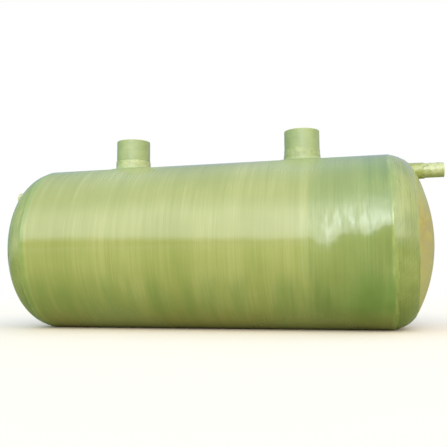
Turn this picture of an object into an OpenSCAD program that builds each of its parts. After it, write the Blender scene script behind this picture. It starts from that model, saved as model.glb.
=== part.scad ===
// Horizontal filament-wound fibreglass septic tank, lying on level ground.
// The tank's axis runs along X, +Z is up, and the origin is on the ground under the middle.
// The inlet is at the +X end and the outlet, lower down, at the -X end.

/* [Shell] */
// Outside diameter of the wound barrel
shell_d = 2500; // [2400:10:2600]
// Distance between the two lines where the dished ends start to turn inwards
tangent_l = 5040; // [4600:20:5600]
// Wall thickness of the barrel and the dished ends
shell_t = 10; // [8:1:12]
// Depth by which the barrel's underside lies pressed flat
flat_depth = 10; // [6:1:14]
// Where the long and the short course of the barrel are joined
seam_x = 1450; // [1430:10:1480]
// Width of the laminate that joins the two courses
seam_w = 100; // [80:10:140]
// Length by which the barrel laps over the turn of a dished end
barrel_lap = 60; // [40:5:80]

/* [Dished ends] */
// Outside radius of the crown
crown_r = 2135; // [2000:5:2300]
// Outside radius of the knuckle between the crown and the skirt
knuckle_r = 455; // [400:5:520]
// Length of the straight skirt glued inside the barrel
skirt_l = 80; // [50:5:120]
// Thickness of the band wound over the knuckle
band_t = 7; // [5:1:9]
// Radius at which the band stops on the crown
band_end_r = 1070; // [1030:5:1100]

/* [Laid-up laminate] */
// Thickness of the collars round the necks and pipes
lay_up_t = 6; // [4:1:8]
// Depth ground off a neck or a pipe so that laminate grips it
key_depth = 1; // [1:0.5:2]
// Length of ground surface that shows beyond a collar
key_margin = 10; // [6:1:20]
// Half the width of the band inside the barrel's seam
seam_inside_reach = 120; // [80:10:160]
// Length of the fillet behind the end of a skirt
skirt_fillet_l = 60; // [40:5:90]

/* [Necks] */
// Outside diameter of an access neck
neck_d = 525; // [480:5:560]
// Wall thickness of a neck
neck_t = 10; // [6:1:14]
// Distance of each neck from the middle of the tank
neck_x = 1350; // [1300:10:1400]
// Height of a neck's rim above the top of the barrel
neck_rise = 440; // [300:10:600]
// Height of the laid-up collar on the neck
neck_collar_h = 120; // [80:5:160]
// Width of the laid-up collar on the barrel
neck_collar_reach = 85; // [60:5:110]

/* [Pipes] */
// Outside diameter of the inlet and outlet pipes
pipe_d = 212; // [190:2:230]
// Wall thickness of a pipe
pipe_t = 6; // [5:1:8]
// Distance of each pipe's free end from the middle of the tank
pipe_end_x = 3350; // [3250:10:3500]
// Height of the inlet pipe above the tank's axis
inlet_h = 1012; // [980:4:1020]
// Height of the outlet pipe above the tank's axis
outlet_h = 840; // [780:5:880]
// Length of the laid-up collar along a pipe
pipe_collar_l = 110; // [80:5:140]
// Width of the laid-up collar on the dished end
pipe_collar_reach = 75; // [50:5:90]

/* [Tees inside] */
// Distance of each tee from the middle of the tank
tee_x = 2490; // [2400:10:2500]
// Height above the axis at which the inlet tee's dip leg ends
inlet_dip_h = 300; // [100:10:500]
// Height above the axis at which the outlet tee's dip leg ends
outlet_dip_h = -50; // [-200:10:200]
// Length of the tee's socket
socket_l = 90; // [60:5:120]
// Wall thickness of the socket
socket_t = 8; // [6:1:10]

/* [Baffles] */
// Distance of each baffle from the middle of the tank
baffle_x = 600; // [400:10:900]
// Thickness of a baffle
baffle_t = 8; // [6:1:14]
// Gap for air between a baffle's top edge and the top of the barrel
air_gap = 200; // [150:10:260]
// Size of the laid-up fillet that holds a baffle
fillet_w = 50; // [30:5:70]
// Width of the transfer slot in a baffle
slot_w = 400; // [300:10:500]
// Height of the transfer slot in a baffle
slot_h = 200; // [150:10:260]
// Distance of the transfer slot from the middle of the baffle
slot_y = 450; // [300:10:600]
// Height of the transfer slot's middle below the axis
slot_drop = 100; // [0:10:300]

/* [Hidden] */

wound_green = "#a9b86c";
pale_resin = "#c9cf9c";
bare_laminate = "#b9ab70";
inside_laminate = "#b4b584";

round_fn = 180;
overshoot = 10;
shell_r = shell_d / 2;
inner_r = shell_r - shell_t;
tangent_x = tangent_l / 2;
barrel_end_x = tangent_x + barrel_lap;
axis_z = shell_r - flat_depth;
barrel_floor = shell_t;
head_floor = 2 * shell_t;
knuckle_y = inner_r - knuckle_r;
crown_drop = sqrt(pow(crown_r - knuckle_r, 2) - pow(knuckle_y, 2));
head_depth = crown_r - crown_drop;
neck_r = neck_d / 2;
keyed_neck_r = neck_r - key_depth;
neck_collar_z = axis_z + shell_r + neck_collar_h;
neck_top_z = axis_z + shell_r + neck_rise;
pipe_r = pipe_d / 2;
keyed_pipe_r = pipe_r - key_depth;
pipe_bore_r = pipe_r - pipe_t;
up_leg_h = 70;

// Where a collar on a pipe ends, for a pipe h above the tank's axis
function collar_end_x(h) =
    tangent_x - crown_drop + sqrt(pow(crown_r, 2) - pow(h - pipe_r, 2)) + pipe_collar_l;

// Everything of the children above a level: the tank's weight presses its underside flat
module pressed(level) {
    wide = 2 * (shell_r + lay_up_t);
    long = 2 * (tangent_x + head_depth + overshoot);
    intersection() {
        children();
        translate([-long / 2, -wide / 2, level]) cube([long, wide, 2 * wide]);
    }
}

// A round bar along the tank's axis
module along_axis(r, x0, x1) {
    translate([x0, 0, axis_z]) rotate([0, 90, 0]) cylinder(r = r, h = x1 - x0, $fn = round_fn);
}

// A vertical round bar
module upright(x, r, z0, z1) {
    translate([x, 0, z0]) cylinder(r = r, h = z1 - z0, $fn = round_fn);
}

// A round bar on a pipe's line, h above the tank's axis, at the +X end (side 1) or the -X end
// (side -1): near_x and far_x are its distances from the middle of the tank
module along_pipe(side, h, r, near_x, far_x) {
    translate([side * near_x, 0, axis_z + h]) rotate([0, side * 90, 0])
        cylinder(r = r, h = far_x - near_x, $fn = round_fn);
}

// Half the outline of a dished end, with its outer surface moved out by grow:
// radius along x, distance from where it starts to turn along y
module dish_half(grow) {
    past_joint = 1.5 * [knuckle_y, crown_drop];
    intersection() {
        square([inner_r + grow, head_depth + grow + overshoot]);
        union() {
            translate([0, -crown_drop]) intersection() {
                circle(r = crown_r + grow, $fn = 2 * round_fn);
                polygon([[0, 0], past_joint, [0, 1.5 * crown_r]]);
            }
            translate([knuckle_y, 0]) circle(r = knuckle_r + grow, $fn = round_fn);
        }
    }
}

// The dished end's outline with its straight skirt
module skirted_half(grow, skirt) {
    union() {
        dish_half(grow);
        translate([0, -skirt]) square([inner_r + grow, skirt]);
    }
}

// The dished end's outline with the band on its knuckle, between the barrel and the crown
module banded_half() {
    union() {
        skirted_half(0, skirt_l);
        difference() {
            dish_half(band_t);
            square([band_end_r, head_depth + 2 * overshoot]);
            square([shell_r, barrel_lap]);
        }
    }
}

// Turns a half outline about the tank's axis at one end
module turned(side) {
    translate([side * tangent_x, 0, axis_z])
        rotate([0, side * 90, 0])
            rotate_extrude($fn = round_fn) children();
}

// A length of the barrel, with the holes for the necks that cross it
module barrel_ring(x0, x1) {
    difference() {
        pressed(0) along_axis(shell_r, x0, x1);
        pressed(barrel_floor) along_axis(inner_r, x0 - overshoot, x1 + overshoot);
        for (side = [-1, 1]) upright(side * neck_x, keyed_neck_r, axis_z, neck_top_z);
    }
}

module barrel_main() { color(wound_green) barrel_ring(-barrel_end_x, seam_x - seam_w / 2); }
module seam_joint() { color(pale_resin) barrel_ring(seam_x - seam_w / 2, seam_x + seam_w / 2); }
module barrel_short() { color(wound_green) barrel_ring(seam_x + seam_w / 2, barrel_end_x); }

// The band laid up inside the barrel's seam
module seam_inner_band() {
    color(inside_laminate) difference() {
        pressed(barrel_floor) along_axis(inner_r, seam_x - seam_inside_reach, seam_x + seam_inside_reach);
        pressed(barrel_floor + lay_up_t)
            along_axis(inner_r - lay_up_t, seam_x - 2 * seam_inside_reach, seam_x + 2 * seam_inside_reach);
        upright(neck_x, keyed_neck_r, axis_z, neck_top_z);
    }
}

// A dished end: its skirt fits inside the barrel, and a pipe goes through its crown
module head(side, pipe_h) {
    color(bare_laminate) difference() {
        pressed(barrel_floor) turned(side) skirted_half(0, skirt_l);
        pressed(head_floor) turned(side) skirted_half(-shell_t, skirt_l + overshoot);
        along_pipe(side, pipe_h, keyed_pipe_r, tangent_x, pipe_end_x);
    }
}

// The band wound over the knuckle of a dished end, from the barrel's edge to the crown
module end_band(side, pipe_h) {
    color(wound_green) difference() {
        pressed(0) turned(side) difference() {
            dish_half(band_t);
            square([band_end_r, head_depth + 2 * overshoot]);
            square([shell_r, barrel_lap]);
        }
        pressed(barrel_floor) turned(side) dish_half(0);
        along_pipe(side, pipe_h, keyed_pipe_r, tangent_x, pipe_end_x);
    }
}

// The fillet laid up behind the end of a dished end's skirt
module skirt_fillet(side) {
    skirt_x = side * (tangent_x - skirt_l);
    color(inside_laminate) difference() {
        pressed(barrel_floor) translate([skirt_x, 0, axis_z]) rotate([0, -side * 90, 0])
            cylinder(r = inner_r, h = skirt_fillet_l, $fn = round_fn);
        pressed(head_floor) translate([skirt_x, 0, axis_z]) rotate([0, -side * 90, 0])
            cylinder(r1 = inner_r - shell_t, r2 = inner_r, h = skirt_fillet_l, $fn = round_fn);
    }
}

// An access neck, ground back as far as its collar and trimmed flush with the inside of the barrel
module neck(side) {
    x = side * neck_x;
    color(wound_green) difference() {
        union() {
            upright(x, keyed_neck_r, axis_z, neck_top_z);
            upright(x, neck_r, neck_collar_z + key_margin, neck_top_z);
        }
        upright(x, neck_r - neck_t, axis_z - overshoot, neck_top_z + overshoot);
        along_axis(inner_r, x - neck_d, x + neck_d);
    }
}

// The collar laid up round a neck: a sleeve on the neck and a saddle on the barrel
module neck_collar(side) {
    x = side * neck_x;
    color(pale_resin) difference() {
        union() {
            upright(x, neck_r + lay_up_t, axis_z, neck_collar_z);
            intersection() {
                upright(x, neck_r + neck_collar_reach, axis_z, neck_top_z);
                along_axis(shell_r + lay_up_t, x - neck_d, x + neck_d);
            }
        }
        along_axis(shell_r, x - neck_d - overshoot, x + neck_d + overshoot);
        upright(x, keyed_neck_r, axis_z, neck_top_z);
    }
}

// The inlet or outlet pipe, from its free end through the dished end to the side of its tee,
// ground back from beyond its collar inwards
module pipe(side, h) {
    color(wound_green) difference() {
        union() {
            along_pipe(side, h, keyed_pipe_r, tee_x, pipe_end_x);
            along_pipe(side, h, pipe_r, collar_end_x(h) + key_margin, pipe_end_x);
        }
        along_pipe(side, h, pipe_bore_r, tee_x - overshoot, pipe_end_x + overshoot);
        upright(side * tee_x, pipe_r, axis_z, neck_top_z);
    }
}

// The collar laid up round a pipe: a sleeve on the pipe and a flange on the dished end
module pipe_collar(side, h) {
    color(pale_resin) difference() {
        union() {
            along_pipe(side, h, pipe_r + lay_up_t, tangent_x, collar_end_x(h));
            intersection() {
                turned(side) dish_half(band_t + lay_up_t);
                along_pipe(side, h, pipe_r + pipe_collar_reach, tangent_x, pipe_end_x);
            }
        }
        turned(side) banded_half();
        along_pipe(side, h, keyed_pipe_r, tangent_x, pipe_end_x);
    }
}

// The tee on the inner end of a pipe: a leg open at both ends and a socket for the pipe
module tee(side, h, dip_h) {
    low_z = axis_z + dip_h;
    high_z = axis_z + h + pipe_r + up_leg_h;
    socket_x = tee_x + pipe_r + socket_l;
    color(inside_laminate) difference() {
        union() {
            upright(side * tee_x, pipe_r, low_z, high_z);
            along_pipe(side, h, pipe_r + socket_t, tee_x, socket_x);
        }
        upright(side * tee_x, pipe_bore_r, low_z - overshoot, high_z + overshoot);
        along_pipe(side, h, pipe_bore_r, tee_x, socket_x);
        difference() {
            along_pipe(side, h, keyed_pipe_r, tee_x, socket_x + overshoot);
            upright(side * tee_x, pipe_r, low_z, high_z);
        }
    }
}

// The space above a baffle's top edge, left open for air
module air_space(x) {
    translate([x - 2 * fillet_w, -shell_r, axis_z + shell_r - air_gap])
        cube([4 * fillet_w, shell_d, shell_r]);
}

// A round-ended slot through a baffle
module transfer_slot(x, y) {
    straight = slot_w - slot_h;
    deep = 2 * fillet_w;
    translate([x - fillet_w, y, axis_z - slot_drop]) {
        translate([0, -straight / 2, -slot_h / 2]) cube([deep, straight, slot_h]);
        for (end = [-1, 1])
            translate([0, end * straight / 2, 0]) rotate([0, 90, 0])
                cylinder(d = slot_h, h = deep, $fn = round_fn);
    }
}

// A baffle across the barrel, with its transfer slot on one side of the middle
module baffle(x, slot_side) {
    color(inside_laminate) difference() {
        pressed(barrel_floor) along_axis(inner_r, x - baffle_t / 2, x + baffle_t / 2);
        air_space(x);
        transfer_slot(x, slot_side * slot_y);
    }
}

// The fillets laid up in the corners between a baffle and the barrel, one on each face
module baffle_fillets(x) {
    color(inside_laminate) for (face = [-1, 1]) difference() {
        pressed(barrel_floor) translate([x + face * baffle_t / 2, 0, axis_z]) rotate([0, face * 90, 0])
            cylinder(r = inner_r, h = fillet_w, $fn = round_fn);
        translate([x + face * baffle_t / 2, 0, axis_z]) rotate([0, face * 90, 0])
            cylinder(r1 = inner_r - fillet_w, r2 = inner_r, h = fillet_w, $fn = round_fn);
        air_space(x);
    }
}

barrel_main();
barrel_short();
seam_joint();
seam_inner_band();
head(-1, outlet_h);  // left_head
head(1, inlet_h);  // right_head
end_band(-1, outlet_h);  // left_end_band
end_band(1, inlet_h);  // right_end_band
skirt_fillet(-1);  // left_skirt_fillet
skirt_fillet(1);  // right_skirt_fillet
neck(-1);  // left_neck
neck(1);  // right_neck
neck_collar(-1);  // left_neck_collar
neck_collar(1);  // right_neck_collar
pipe(1, inlet_h);  // inlet_pipe
pipe(-1, outlet_h);  // outlet_pipe
pipe_collar(1, inlet_h);  // inlet_collar
pipe_collar(-1, outlet_h);  // outlet_collar
tee(1, inlet_h, inlet_dip_h);  // inlet_tee
tee(-1, outlet_h, outlet_dip_h);  // outlet_tee
baffle(baffle_x, 1);  // first_baffle
baffle(-baffle_x, -1);  // second_baffle
baffle_fillets(baffle_x);  // first_baffle_fillets
baffle_fillets(-baffle_x);  // second_baffle_fillets
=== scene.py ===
# A wound fibreglass septic tank, dressed for a picture in plain studio light.
import math
import bpy
from mathutils import Matrix, Vector, noise


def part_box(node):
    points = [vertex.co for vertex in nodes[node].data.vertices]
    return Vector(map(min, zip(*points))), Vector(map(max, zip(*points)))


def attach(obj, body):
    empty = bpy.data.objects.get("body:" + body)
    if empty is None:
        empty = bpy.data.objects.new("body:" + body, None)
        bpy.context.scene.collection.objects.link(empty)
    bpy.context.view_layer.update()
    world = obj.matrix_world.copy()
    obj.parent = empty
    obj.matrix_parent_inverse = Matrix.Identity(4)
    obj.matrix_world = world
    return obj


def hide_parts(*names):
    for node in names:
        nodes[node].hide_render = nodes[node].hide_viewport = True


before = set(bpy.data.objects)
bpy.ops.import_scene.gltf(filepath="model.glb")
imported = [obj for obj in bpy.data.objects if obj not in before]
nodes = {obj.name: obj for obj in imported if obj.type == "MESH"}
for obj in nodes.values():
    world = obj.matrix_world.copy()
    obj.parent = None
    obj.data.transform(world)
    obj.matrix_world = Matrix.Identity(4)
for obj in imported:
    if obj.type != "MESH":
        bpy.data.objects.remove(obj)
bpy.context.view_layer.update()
scene = bpy.context.scene

# Places that the laminate pieces are set out from, in metres, all read off the frame
barrelLow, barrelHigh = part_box("barrel_main")
jointLow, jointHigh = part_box("seam_joint")
shellRadius = barrelHigh.y
axisHeight = barrelHigh.z - shellRadius
barrelEnds = {"left": barrelLow.x, "right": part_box("barrel_short")[1].x}
seamMiddle = (jointLow.x + jointHigh.x) / 2
seamWidth = jointHigh.x - jointLow.x
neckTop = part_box("left_neck")[1].z
neckPlace = (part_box("right_neck")[0].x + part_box("right_neck")[1].x) / 2
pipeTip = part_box("inlet_pipe")[1].x
print("frame loaded:", len(nodes), "nodes")

# The camera stands low in front of the tank, opposite its right half, and looks a little up and left
cameraView = {"place": (2.175, -8.759, 0.686), "yaw": 13.16, "pitch": 5.67, "roll": -0.455,
              "focal": 47.42, "sensor": 36}


def placeCamera(view):
    cameraData = bpy.data.cameras.new("viewCamera")
    camera = bpy.data.objects.new("viewCamera", cameraData)
    scene.collection.objects.link(camera)
    cameraData.lens = view["focal"]
    cameraData.sensor_width = view["sensor"]
    yaw, pitch, roll = (math.radians(view[turn]) for turn in ("yaw", "pitch", "roll"))
    forward = Vector((-math.sin(yaw) * math.cos(pitch), math.cos(yaw) * math.cos(pitch), math.sin(pitch)))
    right = Vector((math.cos(yaw), math.sin(yaw), 0))
    up = right.cross(forward)
    rightRolled = math.cos(roll) * right + math.sin(roll) * up
    upRolled = math.cos(roll) * up - math.sin(roll) * right
    turn = Matrix((rightRolled, upRolled, -forward)).transposed()
    camera.matrix_world = Matrix.Translation(Vector(view["place"])) @ turn.to_4x4()
    scene.camera = camera


placeCamera(cameraView)
print("camera placed")

smooth = {"interpolation_type": "SMOOTHSTEP"}  # for a change that eases in and out
rgba = {"data_type": "RGBA"}  # for a mix of two colours


def linear(hexText):
    parts = [int(hexText[start:start + 2], 16) / 255 for start in (0, 2, 4)]
    return [part / 12.92 if part <= 0.04045 else ((part + 0.055) / 1.055) ** 2.4 for part in parts] + [1.0]


def addNode(tree, kind, sockets=(), stops=(), **settings):
    # the sockets are a list in the node's own order, or a dictionary by name or number
    node = tree.nodes.new("ShaderNode" + kind)
    for name, value in settings.items():
        setattr(node, name, value)
    for socket, value in sockets.items() if isinstance(sockets, dict) else enumerate(sockets):
        if isinstance(value, bpy.types.Node):
            value = value.outputs[0]
        if isinstance(value, bpy.types.NodeSocket):
            tree.links.new(value, node.inputs[socket])
        else:
            node.inputs[socket].default_value = value
    for step, (place, colour) in enumerate(stops):
        elements = node.color_ramp.elements
        mark = elements[step] if step < 2 else elements.new(place)
        mark.position = place
        mark.color = linear(colour)
    return node


def clearTree(owner):
    owner.use_nodes = True
    owner.node_tree.nodes.clear()
    return owner.node_tree


# Soft overcast light. One row of colours runs from the skyline up to overhead, the other runs round the
# tank from behind it, past its left end, the front and its right end. Two tall soft boxes stand in front,
# each given by bearing, half width, height angle, half height (all in degrees) and strength. The skyline
# has its height ahead, how it climbs and falls to the left, how far along it turns, and how soft it is.
skyLight = {"upward": ((0.0, "f3f5fb"), (0.12, "f4f7ff"), (0.65, "edf3ff"), (0.85, "c3d4f4"), (1.0, "a5bfe8")),
            "around": ((0.0, "5a6172"), (0.222, "4e6662"), (0.333, "8ca0a2"), (0.411, "dadce2"),
                       (0.461, "dfe0e4"), (0.478, "ecedf0"), (0.496, "f8f8f8"), (0.514, "ffffff"),
                       (0.583, "fffaf2"), (0.667, "cbc8c2"), (0.778, "908e88"), (0.99, "5a6172")),
            "overhead": "8b929f", "overheadHeight": (0.6, 1.0), "strength": 4.85,
            "boxes": ((0.8, 7.0, 24.0, 25.0, 8.0), (12.0, 9.0, 28.0, 26.0, 3.6)),
            "ground": "8a8a78", "groundStrength": 0.8, "backdrop": "ffffff", "backdropStrength": 1.0,
            "skyline": 0.02, "rise": 0.33, "fall": 0.5, "turn": 0.5, "edge": 0.045}


def makeSky(sky):
    world = bpy.data.worlds.new("overcast sky")
    scene.world = world
    tree = clearTree(world)
    where = addNode(tree, "TexCoord").outputs["Generated"]
    across, depth, height = addNode(tree, "SeparateXYZ", [where]).outputs
    forward = addNode(tree, "Math", [depth, -1.0], operation="MULTIPLY")
    bearing = addNode(tree, "Math", [across, forward], operation="ARCTAN2")
    rising = addNode(tree, "Math", [height], operation="ARCSINE")
    circle = addNode(tree, "Math", [bearing, 0.5 / math.pi, 0.5], operation="MULTIPLY_ADD")
    around = addNode(tree, "ValToRGB", [circle], sky["around"])
    nearTop = addNode(tree, "MapRange", [height, *sky["overheadHeight"]], **smooth)
    around = addNode(tree, "Mix", {0: nearTop, 6: around, 7: linear(sky["overhead"])}, **rgba).outputs[2]
    upward = addNode(tree, "ValToRGB", [height], sky["upward"])
    tint = addNode(tree, "Mix", {0: 1.0, 6: upward, 7: around}, blend_type="MULTIPLY", **rgba).outputs[2]
    amount = sky["strength"]
    for bearingAt, halfWidth, risingAt, halfHeight, strength in sky["boxes"]:
        masks = []
        for angle, middle, half in ((bearing, bearingAt, halfWidth), (rising, risingAt, halfHeight)):
            away = addNode(tree, "Math", [angle, math.radians(middle)], operation="SUBTRACT")
            away = addNode(tree, "Math", [away], operation="ABSOLUTE")
            masks.append(addNode(tree, "MapRange", [away, math.radians(half), 0.0], **smooth))
        box = addNode(tree, "Math", masks, operation="MULTIPLY")
        amount = addNode(tree, "Math", [box, strength, amount], operation="MULTIPLY_ADD")
    above = addNode(tree, "Background", [tint, amount])
    below = addNode(tree, "Background", [linear(sky["ground"]), sky["groundStrength"]])
    # the skyline rises to the left and falls again past the tank's end
    leftward = addNode(tree, "Math", [across, -1.0], operation="MULTIPLY")
    leftward = addNode(tree, "Math", [leftward, 0.0], operation="MAXIMUM")
    rise = addNode(tree, "Math", [leftward, sky["rise"], sky["skyline"]], operation="MULTIPLY_ADD")
    fallFrom = sky["skyline"] + (sky["rise"] + sky["fall"]) * sky["turn"]
    fall = addNode(tree, "Math", [leftward, -sky["fall"], fallFrom], operation="MULTIPLY_ADD")
    line = addNode(tree, "Math", [rise, fall], operation="MINIMUM")
    over = addNode(tree, "Math", [height, line], operation="SUBTRACT")
    split = addNode(tree, "MapRange", [over, -sky["edge"], sky["edge"]])
    glow = addNode(tree, "MixShader", [split, below, above])
    plain = addNode(tree, "Background", [linear(sky["backdrop"]), sky["backdropStrength"]])
    seen = addNode(tree, "LightPath").outputs["Is Camera Ray"]
    both = addNode(tree, "MixShader", [seen, glow, plain])
    addNode(tree, "OutputWorld", [both])


makeSky(skyLight)
scene.view_settings.view_transform = "Standard"

# Matt floor paint, rolled on: to the eye it has no gloss, and it takes a soft shadow. It fades into the
# plain backdrop.
studioFloor = {"size": 90.0, "seen": "eddcc0", "bounce": "a6aa72", "far": "dcdac4", "fade": (7.0, 26.0),
               "roughness": 0.9, "specular": 0.2}


def makeFloor(spec):
    bpy.ops.mesh.primitive_plane_add(size=spec["size"], location=(0, 0, 0))
    floor = bpy.context.active_object
    floor.name = "studioFloor"
    material = bpy.data.materials.new("pale matt floor paint")
    tree = clearTree(material)
    seen = addNode(tree, "LightPath").outputs["Is Camera Ray"]
    where = addNode(tree, "TexCoord").outputs["Object"]
    away = addNode(tree, "VectorMath", [where], operation="LENGTH").outputs["Value"]
    fade = addNode(tree, "MapRange", [away, *spec["fade"]], **smooth)
    # near the tank, light bounced off the floor takes a darker olive colour that the camera never sees: this is
    # painted shade, which dims and tints the light thrown up onto the tank's low sides
    bounce, far = linear(spec["bounce"]), linear(spec["far"])
    thrown = addNode(tree, "Mix", {0: fade, 6: bounce, 7: far}, **rgba).outputs[2]
    colour = addNode(tree, "Mix", {0: seen, 6: thrown, 7: linear(spec["seen"])}, **rgba).outputs[2]
    paint = addNode(tree, "BsdfPrincipled", {"Base Color": colour, "Roughness": spec["roughness"],
                    "Specular IOR Level": spec["specular"]})
    clear = addNode(tree, "BsdfTransparent")
    amount = addNode(tree, "Math", [fade, seen], operation="MULTIPLY")
    mixed = addNode(tree, "MixShader", [amount, paint, clear])
    addNode(tree, "OutputMaterial", [mixed])
    floor.data.materials.append(material)


makeFloor(studioFloor)
print("sky and floor made")

# Hoop-wound glass rovings in green polyester resin, rolled out and cured. To the eye each streak is narrow
# along X and long round the barrel, and the resin over the streaks is glossy and softly rippled. Sizes and
# places are in metres. A row of two or four numbers is where a change starts and ends, then what it goes
# from and to. Each streak's row is its width, length and detail: strands, which are 2 mm wide and drawn
# 5 mm wide so that they show, then rovings, tows and courses. The shares are how much each of these, and
# then the wide patches, counts in the tone.
woundFinish = {"olive": ((0.37, "7d813e"), (0.50, "8a8c4a"), (0.63, "979657")),
               "green": ((0.38, "6d7a3d"), (0.50, "7c8647"), (0.62, "8b9153")),
               "streaks": ((0.005, 0.5, 1.0), (0.022, 0.9, 3.0), (0.075, 1.8, 3.0), (0.36, 5.0, 2.0)),
               "patch": 0.9, "patchDetail": 2.0, "shares": (0.08, 0.24, 0.14, 0.26, 0.28),
               "vividness": (0.35, 0.65, 0.25, 1.35),
               # the greener short course
               "greenStray": 0.9, "greenStart": 0.12, "greenShare": 0.62, "deeper": (1.75, 2.15, 0.0, 0.38),
               # the strip over the joint
               "seam": "989a5c", "seamShare": 0.34, "seamUneven": 0.08, "seamOuter": 0.055, "seamInner": 0.015,
               # the lap of the end winding over the barrel, and the low ridge that it ends in
               "leftRidge": -2.505, "rightRidge": 2.572,
               "wander": 0.05, "wanderScale": 1.6, "wanderDetail": 3.0,
               "lap": ((0.35, "788440"), (0.65, "868e4c")), "lapEdge": (-0.004, 0.02),
               "lapPlace": (0.0, 0.0, 0.35), "lapScale": 2.6, "lapDetail": 2.0,
               "ridge": "a8ac66", "ridgeWidth": 0.046, "ridgeHeight": 0.0022,
               "ridgeRolled": (1.35, 1.60, 1.0, 0.4), "ridgeBroken": (0.38, 0.62, 0.25, 0.75),
               "ridgePlainer": (-1.0, 1.0, 0.45, 1.0),
               # painted shade low on the sides, and dust with a painted reflection of the brown ground along
               # the bottom
               "lowShade": "667a38", "lowShadeFoot": (0.02, 0.28), "lowShadeTop": (0.92, 0.55),
               "lowShadeDeeper": 1.5,
               "lowPatchPlace": (4.0, 0.0, 1.5), "lowPatchScale": (3.6, 0.6, 0.6), "lowPatchDetail": 3.0,
               "lowShadeMask": (0.38, 0.64, 0.0, 0.45), "dustAndGroundReflection": "948345", "dustAndGroundReflectionHeight": (0.34, 0.0, 0.0, 0.6),
               "inside": "a0a06a", "insideDepth": (0.004, 0.006),
               # the rings sanded round the necks, whose paler tone is painted light
               "sandedAndPaintedLight": "98a574", "sandedAndPaintedLightShare": 0.35, "sandedReach": (0.50, 1.30, 1.0, 0.0),
               "sandedStray": 0.4, "sandedGloss": 0.34,
               "roughness": 0.16, "glossTone": (0.3, 0.7), "glossRange": (0.8, 1.3), "ior": 1.56,
               # relief: the streaks, the ripples, and the hollow of the short course
               "strandHeight": 0.00006, "rovingHeight": 0.00010, "towHeight": 0.00022,
               "rippleSize": 0.42, "rippleDetail": 1.5, "rippleHeight": 0.003, "rippleGrowth": 6.0,
               "rippleRise": (1.45, 2.2),
               "rippleRows": (((9.0, 2.2, 2.2), 1.0, 0.5), ((11.0, 5.0, 5.0), 1.5, 0.26)),
               "hollow": ((1.50, 1.66, 0.0, -0.030), (1.74, 1.96, 0.0, 0.060), (2.30, 2.50, 0.0, 0.075)),
               "hollowRise": (-0.42, 0.22, -1.0, 0.0), "hollowFoot": (-1.15, -0.50)}


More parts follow.
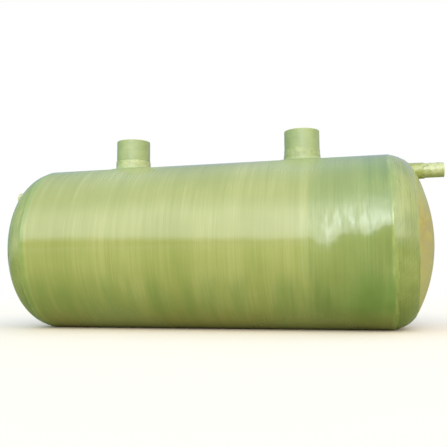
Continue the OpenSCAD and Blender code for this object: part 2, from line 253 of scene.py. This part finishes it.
def makeWoundShell(name, finish):
    material = bpy.data.materials.new(name)
    tree = clearTree(material)
    where = addNode(tree, "TexCoord").outputs["Object"]
    along, across, height = addNode(tree, "SeparateXYZ", [where]).outputs
    layers = []
    for width, length, detail in finish["streaks"]:
        placed = addNode(tree, "Mapping", {"Vector": where, "Scale": (1 / width, 1 / length, 1 / length)})
        layers.append(addNode(tree, "TexNoise", {"Vector": placed, "Scale": 1.0, "Detail": detail}))
    strand, roving, tow, course = layers
    patch = addNode(tree, "TexNoise", {"Vector": where, "Scale": 1 / finish["patch"],
                    "Detail": finish["patchDetail"]})
    vividness = addNode(tree, "MapRange", [patch, *finish["vividness"]], clamp=False)
    roving = addNode(tree, "Mix", {0: vividness, 2: 0.5, 3: roving}, data_type="FLOAT", clamp_factor=False)
    tone = 0.0
    for layer, share in zip((strand, roving, tow, course, patch), finish["shares"]):
        tone = addNode(tree, "Math", [layer, share, tone], operation="MULTIPLY_ADD")
    olive = addNode(tree, "ValToRGB", [tone], finish["olive"])
    green = addNode(tree, "ValToRGB", [tone], finish["green"])
    # the short course was wound with a greener resin, greener still towards its end
    stray = addNode(tree, "Math", [patch, 0.5], operation="SUBTRACT")
    shift = addNode(tree, "Math", [stray, finish["greenStray"], along], operation="MULTIPLY_ADD")
    greenFrom, greenTo = jointHigh.x, jointHigh.x + finish["greenStart"]
    started = addNode(tree, "MapRange", [shift, greenFrom, greenTo, 0.0, finish["greenShare"]])
    deeper = addNode(tree, "MapRange", [shift, *finish["deeper"]])
    greenness = addNode(tree, "Math", [started, deeper], operation="ADD")
    colour = addNode(tree, "Mix", {0: greenness, 6: olive, 7: green}, **rgba).outputs[2]
    # the joint between the courses shows as a paler strip with uneven edges
    offset = addNode(tree, "Math", [along, seamMiddle], operation="SUBTRACT")
    distance = addNode(tree, "Math", [offset], operation="ABSOLUTE")
    uneven = addNode(tree, "Math", [tow, finish["seamUneven"], distance], operation="MULTIPLY_ADD")
    outer, inner = seamWidth / 2 + finish["seamOuter"], seamWidth / 2 + finish["seamInner"]
    strip = addNode(tree, "MapRange", [uneven, outer, inner, 0.0, finish["seamShare"]])
    colour = addNode(tree, "Mix", {0: strip, 6: colour, 7: linear(finish["seam"])}, **rgba).outputs[2]
    # past the last turn of roving at each end the lay-up of the band laps over the barrel, up to a low ridge
    hoop = addNode(tree, "Mapping", {"Vector": where, "Scale": (0.0, 1.0, 1.0)})
    wander = addNode(tree, "TexNoise", {"Vector": hoop, "Scale": finish["wanderScale"],
                     "Detail": finish["wanderDetail"]})
    hoopOn = addNode(tree, "Mapping", {"Vector": where, "Location": finish["lapPlace"],
                     "Scale": (0.0, 1.0, 1.0)})
    patchy = addNode(tree, "TexNoise", {"Vector": hoopOn, "Scale": finish["lapScale"],
                     "Detail": finish["lapDetail"]})
    pastLeft = addNode(tree, "Math", [finish["leftRidge"], along], operation="SUBTRACT")
    pastRight = addNode(tree, "Math", [along, finish["rightRidge"]], operation="SUBTRACT")
    past = addNode(tree, "Math", [pastLeft, pastRight], operation="MAXIMUM")
    past = addNode(tree, "Math", [wander, finish["wander"], past], operation="MULTIPLY_ADD")
    past = addNode(tree, "Math", [past, finish["wander"] / 2], operation="SUBTRACT")
    lapped = addNode(tree, "MapRange", [past, *finish["lapEdge"]])
    lapTone = addNode(tree, "ValToRGB", [patchy], finish["lap"])
    colour = addNode(tree, "Mix", {0: lapped, 6: colour, 7: lapTone}, **rgba).outputs[2]
    # above the middle the ridge is rolled flatter and shows less, and it is paler in some places than others
    beside = addNode(tree, "Math", [past], operation="ABSOLUTE")
    ridge = addNode(tree, "MapRange", [beside, finish["ridgeWidth"], 0.0], **smooth)
    rolled = addNode(tree, "MapRange", [height, *finish["ridgeRolled"]])
    ridge = addNode(tree, "Math", [ridge, rolled], operation="MULTIPLY")
    broken = addNode(tree, "MapRange", [patchy, *finish["ridgeBroken"]])
    plainer = addNode(tree, "MapRange", [along, *finish["ridgePlainer"]])
    paleRidge = addNode(tree, "Math", [ridge, broken], operation="MULTIPLY")
    paleRidge = addNode(tree, "Math", [paleRidge, plainer], operation="MULTIPLY")
    colour = addNode(tree, "Mix", {0: paleRidge, 6: colour, 7: linear(finish["ridge"])}, **rgba).outputs[2]
    # painted shade: low on the sides the green is deeper in wide patches, and deeper still on the short course
    risen = addNode(tree, "MapRange", [height, *finish["lowShadeFoot"]], **smooth)
    sunk = addNode(tree, "MapRange", [height, *finish["lowShadeTop"]], **smooth)
    lowPatch = addNode(tree, "Mapping", {"Vector": where, "Location": finish["lowPatchPlace"],
                   "Scale": finish["lowPatchScale"]})
    lowPatch = addNode(tree, "TexNoise", {"Vector": lowPatch, "Scale": 1.0, "Detail": finish["lowPatchDetail"]})
    lowShadeMask = addNode(tree, "MapRange", [lowPatch, *finish["lowShadeMask"]], **smooth)
    lowShadeMask = addNode(tree, "Math", [deeper, finish["lowShadeDeeper"], lowShadeMask], operation="MULTIPLY_ADD")
    lowShadeMask = addNode(tree, "Math", [lowShadeMask, risen], operation="MULTIPLY")
    lowShadeMask = addNode(tree, "Math", [lowShadeMask, sunk], operation="MULTIPLY")
    colour = addNode(tree, "Mix", {0: lowShadeMask, 6: colour, 7: linear(finish["lowShade"])}, **rgba).outputs[2]
    # along the bottom, dust from the yard and a painted reflection of the brown ground
    low = addNode(tree, "MapRange", [height, *finish["dustAndGroundReflectionHeight"]])
    colour = addNode(tree, "Mix", {0: low, 6: colour, 7: linear(finish["dustAndGroundReflection"])}, **rgba).outputs[2]
    # the inside face has a thick even coat of resin
    middle = addNode(tree, "Math", [height, axisHeight], operation="SUBTRACT")
    flat = addNode(tree, "CombineXYZ", {1: across, 2: middle})
    radius = addNode(tree, "VectorMath", [flat], operation="LENGTH").outputs["Value"]
    inside = addNode(tree, "MapRange", [radius, *(shellRadius - depth for depth in finish["insideDepth"])])
    colour = addNode(tree, "Mix", {0: inside, 6: colour, 7: linear(finish["inside"])}, **rgba).outputs[2]
    # round each neck the shell was sanded and is duller; its paler tone there is painted light over the neck's
    # shade
    aside = addNode(tree, "Math", [along], operation="ABSOLUTE")
    aside = addNode(tree, "Math", [aside, neckPlace], operation="SUBTRACT")
    spoke = addNode(tree, "CombineXYZ", [aside, across])
    beyond = addNode(tree, "VectorMath", [spoke], operation="LENGTH").outputs["Value"]
    beyond = addNode(tree, "Math", [patch, finish["sandedStray"], beyond], operation="MULTIPLY_ADD")
    sandedAndPaintedLight = addNode(tree, "MapRange", [beyond, *finish["sandedReach"]], **smooth)
    paintedLightMask = addNode(tree, "Math", [sandedAndPaintedLight, finish["sandedAndPaintedLightShare"]], operation="MULTIPLY")
    colour = addNode(tree, "Mix", {0: paintedLightMask, 6: colour, 7: linear(finish["sandedAndPaintedLight"])}, **rgba).outputs[2]
    glossRange = [finish["roughness"] * part for part in finish["glossRange"]]
    gloss = addNode(tree, "MapRange", [roving, *finish["glossTone"], *glossRange])
    gloss = addNode(tree, "Math", [sandedAndPaintedLight, finish["sandedGloss"], gloss], operation="MULTIPLY_ADD")
    # broad ripples in the resin, larger on the short course, that break up what the gloss reflects
    ripples = addNode(tree, "TexNoise", {"Vector": where, "Scale": 1 / finish["rippleSize"],
                      "Detail": finish["rippleDetail"]})
    for scale, detail, share in finish["rippleRows"]:
        placed = addNode(tree, "Mapping", {"Vector": where, "Scale": scale})
        row = addNode(tree, "TexNoise", {"Vector": placed, "Scale": 1.0, "Detail": detail})
        ripples = addNode(tree, "Math", [row, share, ripples], operation="MULTIPLY_ADD")
    highest = finish["rippleHeight"] * finish["rippleGrowth"]
    rippled = addNode(tree, "MapRange", [along, *finish["rippleRise"], finish["rippleHeight"], highest])
    # the short course is a little hollow below its middle, in steps towards its end
    rise = addNode(tree, "MapRange", [middle, *finish["hollowRise"]], **smooth)
    foot = addNode(tree, "MapRange", [middle, *finish["hollowFoot"]], **smooth)
    level = addNode(tree, "Math", [rise, foot], operation="MULTIPLY")
    hollow = 0.0
    for change in finish["hollow"]:
        step = addNode(tree, "MapRange", [along, *change], **smooth)
        hollow = addNode(tree, "Math", [hollow, step], operation="ADD")
    relief = 0.0
    for layer, amount in ((strand, finish["strandHeight"]), (roving, finish["rovingHeight"]),
                          (tow, finish["towHeight"]), (ripples, rippled), (ridge, finish["ridgeHeight"]),
                          (hollow, level)):
        relief = addNode(tree, "Math", [layer, amount, relief], operation="MULTIPLY_ADD")
    bump = addNode(tree, "Bump", {"Height": relief, "Strength": 1.0, "Distance": 1.0})
    shader = addNode(tree, "BsdfPrincipled", {"Base Color": colour, "Roughness": gloss, "Normal": bump,
                     "IOR": finish["ior"]})
    addNode(tree, "OutputMaterial", [shader])
    return material


# Glass mat laid up by hand: to the eye, short strands at every angle under resin of uneven depth, which
# makes the tone blotchy and the gloss patchy. The strands are 50 mm long, and are drawn 5 mm wide so that
# they show. Sizes and places are in metres. A turn of 0 runs round a tube or the tank, narrow along one axis.
matFinish = {"strandLength": 0.05, "strandWidth": 0.005, "strandDetail": 1.0, "strandHeight": 0.0005,
             "turns": (15, 75, 135), "lean": (1, 0.7, 0.4), "hoopAxis": 2,
             "blotch": 0.16, "blotchDetail": 4.0, "blotchHeight": 0.0015, "contrast": 0.11,
             "roughness": 0.35, "glossTone": (0.3, 0.7), "glossRange": (0.7, 1.3), "ior": 1.54,
             # the sawn end of a tube, by axis and place
             "cutAxis": None, "cutPlace": 0.0, "cutColour": "b4b48a", "cutOuter": 0.010, "cutInner": 0.002,
             "cutShare": 0.85,
             # another tone low down and another high up, by height or by distance from the tank's axis
             "lowTone": None, "lowFrom": 1.0, "lowTo": 0.4, "lowShare": 0.5, "lowStray": 0.8, "lowRound": False,
             "highTone": None, "highFrom": 1.60, "highTo": 2.05, "highShare": 0.8, "highStray": 0.3,
             "highRound": False}


def makeStrandMat(name, dark, mid, pale, **changes):
    finish = dict(matFinish, **changes)
    material = bpy.data.materials.new(name)
    tree = clearTree(material)
    where = addNode(tree, "TexCoord").outputs["Object"]
    wide, long = 1 / finish["strandWidth"], 1 / finish["strandLength"]
    share = 1 / len(finish["turns"])
    strands = 0.0
    for turn in finish["turns"]:
        lean = [math.radians(turn * part) for part in finish["lean"]]
        turned = addNode(tree, "Mapping", {"Vector": where, "Rotation": lean})
        narrowAxis = 1 if turn else finish["hoopAxis"]
        scale = [wide if axis == narrowAxis else long for axis in range(3)]
        placed = addNode(tree, "Mapping", {"Vector": turned, "Scale": scale})
        layer = addNode(tree, "TexNoise", {"Vector": placed, "Scale": 1.0, "Detail": finish["strandDetail"]})
        strands = addNode(tree, "Math", [layer, share, strands], operation="MULTIPLY_ADD")
    blotch = addNode(tree, "TexNoise", {"Vector": where, "Scale": 1 / finish["blotch"],
                     "Detail": finish["blotchDetail"]})
    total = addNode(tree, "Math", [strands, blotch], operation="ADD")
    tone = addNode(tree, "Math", [total, 0.5], operation="MULTIPLY")
    spread = finish["contrast"]
    colour = addNode(tree, "ValToRGB", [tone], [(0.5 - spread, dark), (0.5, mid), (0.5 + spread, pale)])
    for end in ("low", "high"):
        if finish[end + "Tone"] is None:
            continue
        place = addNode(tree, "SeparateXYZ", [where]).outputs["Z"]
        if finish[end + "Round"]:
            fromAxis = addNode(tree, "VectorMath", [where, (0.0, 0.0, axisHeight)], operation="SUBTRACT")
            fromAxis = addNode(tree, "VectorMath", [fromAxis, (0.0, 1.0, 1.0)], operation="MULTIPLY")
            place = addNode(tree, "VectorMath", [fromAxis], operation="LENGTH").outputs["Value"]
        stray = addNode(tree, "Math", [blotch, 0.5], operation="SUBTRACT")
        place = addNode(tree, "Math", [stray, finish[end + "Stray"], place], operation="MULTIPLY_ADD")
        reached = addNode(tree, "MapRange", [place, finish[end + "From"], finish[end + "To"], 0.0,
                          finish[end + "Share"]])
        toned = linear(finish[end + "Tone"])
        colour = addNode(tree, "Mix", {0: reached, 6: colour, 7: toned}, **rgba).outputs[2]
    if finish["cutAxis"] is not None:
        reach = addNode(tree, "SeparateXYZ", [where]).outputs[finish["cutAxis"]]
        reach = addNode(tree, "Math", [reach], operation="ABSOLUTE")
        cutFrom, cutTo = (finish["cutPlace"] - finish[edge] for edge in ("cutOuter", "cutInner"))
        cut = addNode(tree, "MapRange", [reach, cutFrom, cutTo, 0.0, finish["cutShare"]])
        colour = addNode(tree, "Mix", {0: cut, 6: colour, 7: linear(finish["cutColour"])}, **rgba).outputs[2]
    relief = addNode(tree, "Math", [strands, finish["strandHeight"]], operation="MULTIPLY")
    relief = addNode(tree, "Math", [blotch, finish["blotchHeight"], relief], operation="MULTIPLY_ADD")
    bump = addNode(tree, "Bump", {"Height": relief, "Strength": 1.0, "Distance": 1.0})
    glossRange = [finish["roughness"] * part for part in finish["glossRange"]]
    gloss = addNode(tree, "MapRange", [blotch, *finish["glossTone"], *glossRange])
    shader = addNode(tree, "BsdfPrincipled", {"Base Color": colour, "Roughness": gloss, "Normal": bump,
                     "IOR": finish["ior"]})
    addNode(tree, "OutputMaterial", [shader])
    return material


woundShell = makeWoundShell("hoop-wound glass in green polyester", woundFinish)
# rovings 12 mm wide, wound over the knuckle together with the barrel: long glossy streaks round the tank,
# with painted shade making them darker near the ground
woundBand = makeStrandMat("wound glass band over the knuckle", "6b7539", "7f8546", "8e9150", roughness=0.22,
                          contrast=0.15, blotch=0.42, strandLength=0.60, strandWidth=0.012, turns=(0, 0, 25),
                          hoopAxis=0, lowTone="5f6c2c", lowFrom=1.05, lowTo=0.35, lowShare=0.55)
# mat laid up in the mould of the dished end and left bare: dry, tan and mottled, greener high up
bareCrown = makeStrandMat("hand-laid glass mat, bare", "887832", "96853a", "a49646", roughness=0.5, ior=1.42,
                          blotch=0.12, lowTone="a8a26c", lowFrom=1.40, lowTo=0.40, lowShare=0.7, lowStray=0.3,
                          highTone="8b9257", highFrom=1.45, highTo=1.95)
# wound on a drum, sawn off and worn dull: fine hoops with crossing strands, and a pale sawn rim
greenNeck = makeStrandMat("hoop-wound glass, necks", "76824a", "858f55", "959c62", roughness=0.40, blotch=0.22,
                          turns=(0, 60, 120), strandLength=0.3, contrast=0.17, cutAxis=2, cutPlace=neckTop)
# laminate rolled onto a pipe in pale resin: small blotches, and a pale sawn tip
paleLaminate = makeStrandMat("pale green pipe laminate", "878a50", "a2a268", "b2b07e", blotch=0.06, cutAxis=0,
                             cutPlace=pipeTip)
# the foot of a neck's collar is thin and takes the tone of the shell under it
thinFoot = {"lowTone": "8e975f", "lowFrom": shellRadius + 0.055, "lowTo": shellRadius + 0.015, "lowShare": 0.9,
            "lowStray": 0.05, "lowRound": True}
# mat brushed full of resin: pale strands show in a yellowish depth
resinRichMat = makeStrandMat("hand-laid glass mat, rich in resin", "82894f", "949a5e", "aaac74", blotch=0.08,
                             **thinFoot)
# the same with its green resin worn: close to the neck's own tone, and smoother
greenRingMat = makeStrandMat("hand-laid glass mat, worn green", "79844a", "868d51", "989c5f", blotch=0.08,
                             roughness=0.38, strandHeight=0.0003, **thinFoot)
# mat wetted out with green resin: greener and glossier than the crown round it
greenLayUp = makeStrandMat("hand-laid glass mat in green resin", "7c864c", "88925a", "a0a66e", blotch=0.08,
                           roughness=0.25)
# mat over crown and band at once: olive where the resin is deep, pale where strands stand proud
pipePatchMat = makeStrandMat("hand-laid glass mat over the crown", "7e813c", "8f924b", "a6a76a", blotch=0.10)
# what is laid up inside is never dressed: even in tone, pale and half matt
insideMat = makeStrandMat("hand-laid glass mat, inside", "878a58", "9a9c66", "a9ab7a")
# filled resin spread with a blade: glossy, and smoother in tone than the mats
puttyMat = makeStrandMat("resin putty over the barrel's edge", "74803f", "7e8846", "8c9450", blotch=0.25,
                         roughness=0.22)
insideWords = ("baffle", "tee", "inner", "skirt")
dressing = ((woundShell, ("barrel_main", "barrel_short", "seam_joint")),
            (woundBand, ("left_end_band", "right_end_band")), (bareCrown, ("left_head", "right_head")),
            (greenNeck, ("left_neck", "right_neck")), (paleLaminate, ("inlet_pipe", "outlet_pipe")),
            (resinRichMat, ("left_neck_collar", "right_neck_collar", "inlet_collar", "outlet_collar")),
            (insideMat, [name for name in nodes if any(word in name for word in insideWords)]))
for material, names in dressing:
    for name in names:
        slots = nodes[name].data.materials
        slots.clear()
        slots.append(material)
print("materials made")

creaseAngle = 50  # degrees, over which an edge stays sharp
rowStep = 0.01  # metres between rows as they are extruded, before each is laid where it belongs


def extrudeRings(centre, axis, start, step, radius, segments, scales):
    # a circle round the axis, extruded once for each scale
    bpy.ops.object.select_all(action="DESELECT")
    turn = axis.to_track_quat("Z", "Y").to_euler()
    place = centre + axis * start
    bpy.ops.mesh.primitive_circle_add(vertices=segments, radius=radius, location=place, rotation=turn)
    rings = bpy.context.active_object
    bpy.ops.object.mode_set(mode="EDIT")
    bpy.ops.mesh.select_all(action="SELECT")
    for scale in scales:
        bpy.ops.mesh.extrude_edges_move(TRANSFORM_OT_translate={"value": axis * step})
        if scale != 1:
            bpy.ops.transform.resize(value=(scale, scale, scale), center_override=centre)
    bpy.ops.object.mode_set(mode="OBJECT")
    bpy.ops.object.transform_apply(location=True, rotation=True, scale=True)
    return rings


def landOn(targets, start, direction):
    best = None
    for target in targets:
        hit, point, normal, _ = nodes[target].ray_cast(start, direction)
        if hit and (best is None or (point - start).length < (best[0] - start).length):
            best = (point, normal)
    return best


def outFromAxis(vertex):
    # the direction from the tank's axis to a vertex
    angle = math.atan2(vertex.co.z - axisHeight, vertex.co.y)
    return Vector((0, math.cos(angle), math.sin(angle)))


def finishPiece(piece, name, thickness, material, replaced=()):
    solid = piece.modifiers.new("thickness", "SOLIDIFY")
    solid.thickness = thickness
    solid.offset = -1
    bpy.ops.object.modifier_apply(modifier="thickness")
    piece.name = name
    piece.data.name = name
    piece.data.materials.clear()
    piece.data.materials.append(material)
    bpy.ops.object.select_all(action="DESELECT")
    piece.select_set(True)
    bpy.context.view_layer.objects.active = piece
    bpy.ops.object.mode_set(mode="EDIT")
    bpy.ops.mesh.select_all(action="SELECT")
    bpy.ops.mesh.normals_make_consistent(inside=False)
    bpy.ops.object.mode_set(mode="OBJECT")
    bpy.ops.object.shade_smooth_by_angle(angle=math.radians(creaseAngle))
    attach(piece, "root")
    if replaced:
        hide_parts(*replaced)


# Collars of glass mat laid up wet round each neck and pipe: a sleeve on the tube, then a skirt on the shell.
# A sleeve's row is how far the mat stands off the tube, and how high up the sleeve it is, from 0 to 1. A
# skirt's row is how far out from the tube it is, and how thick it lies there. Sizes are in metres.
collarLayUp = {"sleeve": ((0.0, 1.0), (0.0035, 0.985), (0.0060, 0.93), (0.0068, 0.6), (0.0075, 0.3),
                          (0.0095, 0.14)),
               "skirt": ((0.016, 0.0090), (0.032, 0.0058), (0.055, 0.0040), (0.075, 0.0026), (0.084, 0.0)),
               "segments": 216, "thickness": 0.004,
               # the ragged edge is uneven in slow, quick and strand-sized waves, and starts out on the skirt
               "raggedEdge": 0.018, "drift": 1.0, "slowScale": 2.2, "quickShare": 0.5, "quickScale": 9.0,
               "fray": 0.007, "frayScale": 30.0, "skirtStart": 0.03,
               "uphill": 1.0,  # how much of its reach the skirt keeps straight uphill
               # the upper rows of the sleeve share the ragged edge, drawn down a little
               "rimRows": 0.5, "rimShare": 1.1, "rimDrop": 0.006,
               "lumps": 0.0016, "lumpsFrom": 0.003, "lumpScale": 7.0, "lumpRows": 60, "lumpRise": 4,
               # the nearest that a row lies to the tube, where it is dropped from, how deep its edge is sunk
               "nearest": 0.002, "dropFrom": 0.1, "sunk": 0.001,
               "neighbours": 5}  # on each side, that a row is drawn up to
# the right neck's mat is lower, under a thin wash of resin brushed up the neck
washedLayUp = dict(collarLayUp, sleeve=((0.0, 1.0), (0.0010, 0.985), (0.0014, 0.56), (0.0050, 0.53),
                                        (0.0064, 0.46), (0.0072, 0.3), (0.0095, 0.14)))
pipeLayUp = dict(collarLayUp, raggedEdge=0.013, drift=3.0, uphill=0.24, segments=240,
                 skirt=((0.016, 0.0095), (0.036, 0.0070), (0.080, 0.0048), (0.140, 0.0038), (0.200, 0.0034),
                        (0.245, 0.0026), (0.262, 0.0)))


def layUpCollar(name, spec, foot, axis, tubeRadius, sleeveLength, targets, replaced, seed, material):
    steps = [(off, None, rise) for off, rise in spec["sleeve"]]
    steps += [(off, lift, 0) for off, lift in spec["skirt"]]
    radii = [tubeRadius + off for off, *_ in steps]
    scales = [after / before for before, after in zip(radii, radii[1:])]
    segments, skirtStart, skirtEnd = spec["segments"], spec["skirtStart"], spec["skirt"][-1][0]
    collar = extrudeRings(foot, axis, sleeveLength, -rowStep, tubeRadius, segments, scales)
    side = axis.orthogonal().normalized()
    other = axis.cross(side)
    for vertex in collar.data.vertices:
        off, lift, rise = steps[vertex.index // segments]
        spoke = vertex.co - foot
        angle = math.atan2(spoke.dot(other), spoke.dot(side))
        outward = math.cos(angle) * side + math.sin(angle) * other
        x, y, z = (part * spec["slowScale"] for part in outward)
        slow = noise.noise(Vector((x, y, z + seed)))
        quick = noise.noise(outward * spec["quickScale"] + Vector((seed, 0, 0)))
        strand = noise.noise(outward * spec["frayScale"] + Vector((0, seed, 0)))
        edge = spec["raggedEdge"] * (slow * spec["drift"] + spec["quickShare"] * quick) + spec["fray"] * strand
        lumpPlace = axis * (off * spec["lumpRows"] + rise * spec["lumpRise"] + seed)
        lump = spec["lumps"] * noise.noise(outward * spec["lumpScale"] + lumpPlace)
        spread = edge * max(0.0, (off - skirtStart) / (skirtEnd - skirtStart))
        if lift is not None and off > skirtStart:
            # on a dished end the skirt reaches less far uphill
            off = skirtStart + (off - skirtStart) * (1 - (1 - spec["uphill"]) * (0.5 + 0.5 * outward.z))
        reach = tubeRadius + max(off + spread, spec["nearest"])
        start = foot + outward * reach + axis * (sleeveLength + spec["dropFrom"])
        ground, normal = landOn(targets, start, -axis)
        if lift is None:
            low = (ground - foot).dot(axis)
            rim = edge * spec["rimShare"] - spec["rimDrop"] if rise > spec["rimRows"] else 0
            radius = tubeRadius + off + (lump if off > spec["lumpsFrom"] else 0)
            vertex.co = foot + outward * radius + axis * (low + (sleeveLength + rim - low) * rise)
        else:
            vertex.co = ground + normal * (lift + (lump if lift > 0 else -spec["sunk"]))
    # where the skirt crosses the edge of the band its low side is drawn up to a slope, as stiff mat lies
    heights = [vertex.co.dot(axis) for vertex in collar.data.vertices]
    around = range(-spec["neighbours"], spec["neighbours"] + 1)
    for vertex in collar.data.vertices:
        row, place = divmod(vertex.index, segments)
        if steps[row][1]:
            beside = [heights[row * segments + (place + shift) % segments] for shift in around]
            vertex.co += axis * max(0.0, sum(beside) / len(beside) - heights[vertex.index])
    finishPiece(collar, name, spec["thickness"], material, replaced)


upAxis = Vector((0, 0, 1))
shellNodes = ("barrel_main", "seam_joint", "barrel_short")
for place, seed, spec, raised, layUpMat in (("left", 3.1, collarLayUp, 0.0, resinRichMat),
                                            ("right", 8.4, washedLayUp, 0.03, greenRingMat)):
    low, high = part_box(place + "_neck")
    neckFoot = Vector(((low.x + high.x) / 2, 0, axisHeight + shellRadius))
    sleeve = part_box(place + "_neck_collar")[1].z - neckFoot.z + raised
    layUpCollar(place + "NeckCollar", spec, neckFoot, upAxis, (high.x - low.x) / 2, sleeve,
                shellNodes, (place + "_neck_collar",), seed, layUpMat)
for name, headSide, outwards, seed, layUpMat in (("inlet", "right", 1, 5.7, pipePatchMat),
                                                 ("outlet", "left", -1, 1.9, greenLayUp)):
    low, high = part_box(name + "_pipe")
    root, tip = sorted((corner.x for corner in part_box(name + "_collar")), key=abs)
    pipeFoot = Vector((root, 0, (low.z + high.z) / 2))
    layUpCollar(name + "PipeCollar", pipeLayUp, pipeFoot, Vector((outwards, 0, 0)), (high.z - low.z) / 2,
                abs(tip - root), (headSide + "_head", headSide + "_end_band"), (name + "_collar",),
                seed, layUpMat)
print("collars laid up")

# Resin putty that blends the barrel's cut edge down to the band on the knuckle, one ring at each end. Each
# row is how far it lies beyond the edge. Sizes are in metres.
edgePutty = {"rows": (0.0, 0.010, 0.022, 0.036, 0.052, 0.068), "segments": 540, "thickness": 0.003,
             "reach": 0.72, "uneven": 0.35, "slowScale": 3.0, "quickShare": 0.8, "quickScale": 14.0,
             "lumps": 0.0014, "curve": 1.4,
             # how far it starts under the barrel's face, is sunk in the band, and stays inside the outline
             "under": 0.0006, "sunk": 0.0015, "clear": 0.0004,
             "nearest": 0.002, "dropFrom": 0.05}


def blendEdge(name, spec, end, side, seed):
    edge = barrelEnds[end]
    axis = Vector((side, 0, 0))
    rows, segments = spec["rows"], spec["segments"]
    centre = Vector((edge, 0, axisHeight))
    ring = extrudeRings(centre, axis, 0, rowStep, shellRadius, segments, [1] * (len(rows) - 1))
    top = shellRadius - spec["under"]
    for vertex in ring.data.vertices:
        row = vertex.index // segments
        outward = outFromAxis(vertex)
        slow = noise.noise(outward * spec["slowScale"] + Vector((seed, 0, 0)))
        quick = noise.noise(outward * spec["quickScale"] + Vector((seed, 5, 0)))
        reach = rows[row] * (spec["reach"] + spec["uneven"] * (slow + spec["quickShare"] * quick))
        startX = edge + side * max(reach, spec["nearest"])
        start = Vector((startX, 0, axisHeight)) + outward * (shellRadius + spec["dropFrom"])
        ground, _ = landOn((end + "_end_band",), start, -outward)
        bottom = (ground - Vector((ground.x, 0, axisHeight))).length - spec["sunk"]
        fade = 1 - row / (len(rows) - 1)
        lump = spec["lumps"] * quick * math.sin(math.pi * fade)
        radius = min(bottom + (top - bottom) * fade ** spec["curve"] + lump, shellRadius - spec["clear"])
        vertex.co = Vector((edge + side * reach, 0, axisHeight)) + outward * radius
        vertex.co.z = max(vertex.co.z, spec["clear"])
    finishPiece(ring, name, spec["thickness"], puttyMat)


blendEdge("rightEdgePutty", edgePutty, "right", 1, 2.3)
blendEdge("leftEdgePutty", edgePutty, "left", -1, 6.9)
print("barrel edges blended")

# Loose ends of the band's cloth lie over the bare crown in an uneven fringe. Each row is how far out from
# the band's rim it lies, and how high it stands off the crown. Sizes are in metres.
bandFringe = {"rim": 1.07, "rows": ((0.004, 0.0034), (-0.008, 0.0034), (-0.022, 0.0026), (-0.040, 0.0)),
              "segments": 400, "thickness": 0.002, "uneven": 0.018, "unevenScale": 5.0, "fray": 0.008,
              "frayScale": 40.0, "sunk": 0.001, "pipeGap": 0.012, "dropFrom": 0.6}


def layFringe(name, spec, end, side, pipe, seed):
    head = (end + "_head",)
    bandX = max((corner.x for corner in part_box(end + "_end_band")), key=abs)
    axis = Vector((side, 0, 0))
    rows, segments = spec["rows"], spec["segments"]
    centre = Vector((bandX, 0, axisHeight))
    ring = extrudeRings(centre, axis, 0, rowStep, spec["rim"], segments, [1] * (len(rows) - 1))
    for vertex in ring.data.vertices:
        offset, lift = rows[vertex.index // segments]
        outward = outFromAxis(vertex)
        uneven = spec["uneven"] * noise.noise(outward * spec["unevenScale"] + Vector((seed, 0, 0)))
        fray = spec["fray"] * noise.noise(outward * spec["frayScale"] + Vector((seed, 3, 0)))
        share = max(0.0, offset / rows[-1][0])
        radius = spec["rim"] + offset + (uneven + fray) * share
        start = Vector((bandX + side * spec["dropFrom"], 0, axisHeight)) + outward * radius
        landed = landOn(head, start, -axis)
        if landed is None:
            # over the pipe's hole the crown's height is taken from the opposite side
            opposite = Vector((start.x, -start.y, 2 * axisHeight - start.z))
            ground, normal = landOn(head, opposite, -axis)
            landed = Vector((ground.x, start.y, start.z)), Vector((normal.x, -normal.y, -normal.z))
        ground, normal = landed
        vertex.co = ground + normal * (lift or -spec["sunk"])
    pipeLow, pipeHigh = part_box(pipe)
    pipeHeight, clearance = (pipeLow.z + pipeHigh.z) / 2, pipeHigh.y + spec["pipeGap"]
    for vertex in ring.data.vertices:
        vertex.select = math.hypot(vertex.co.y, vertex.co.z - pipeHeight) < clearance
    bpy.ops.object.mode_set(mode="EDIT")
    bpy.ops.mesh.delete(type="VERT")
    bpy.ops.object.mode_set(mode="OBJECT")
    finishPiece(ring, name, spec["thickness"], woundBand)


layFringe("rightBandFringe", bandFringe, "right", 1, "inlet_pipe", 4.2)
layFringe("leftBandFringe", bandFringe, "left", -1, "outlet_pipe", 7.7)
print("band fringes laid")
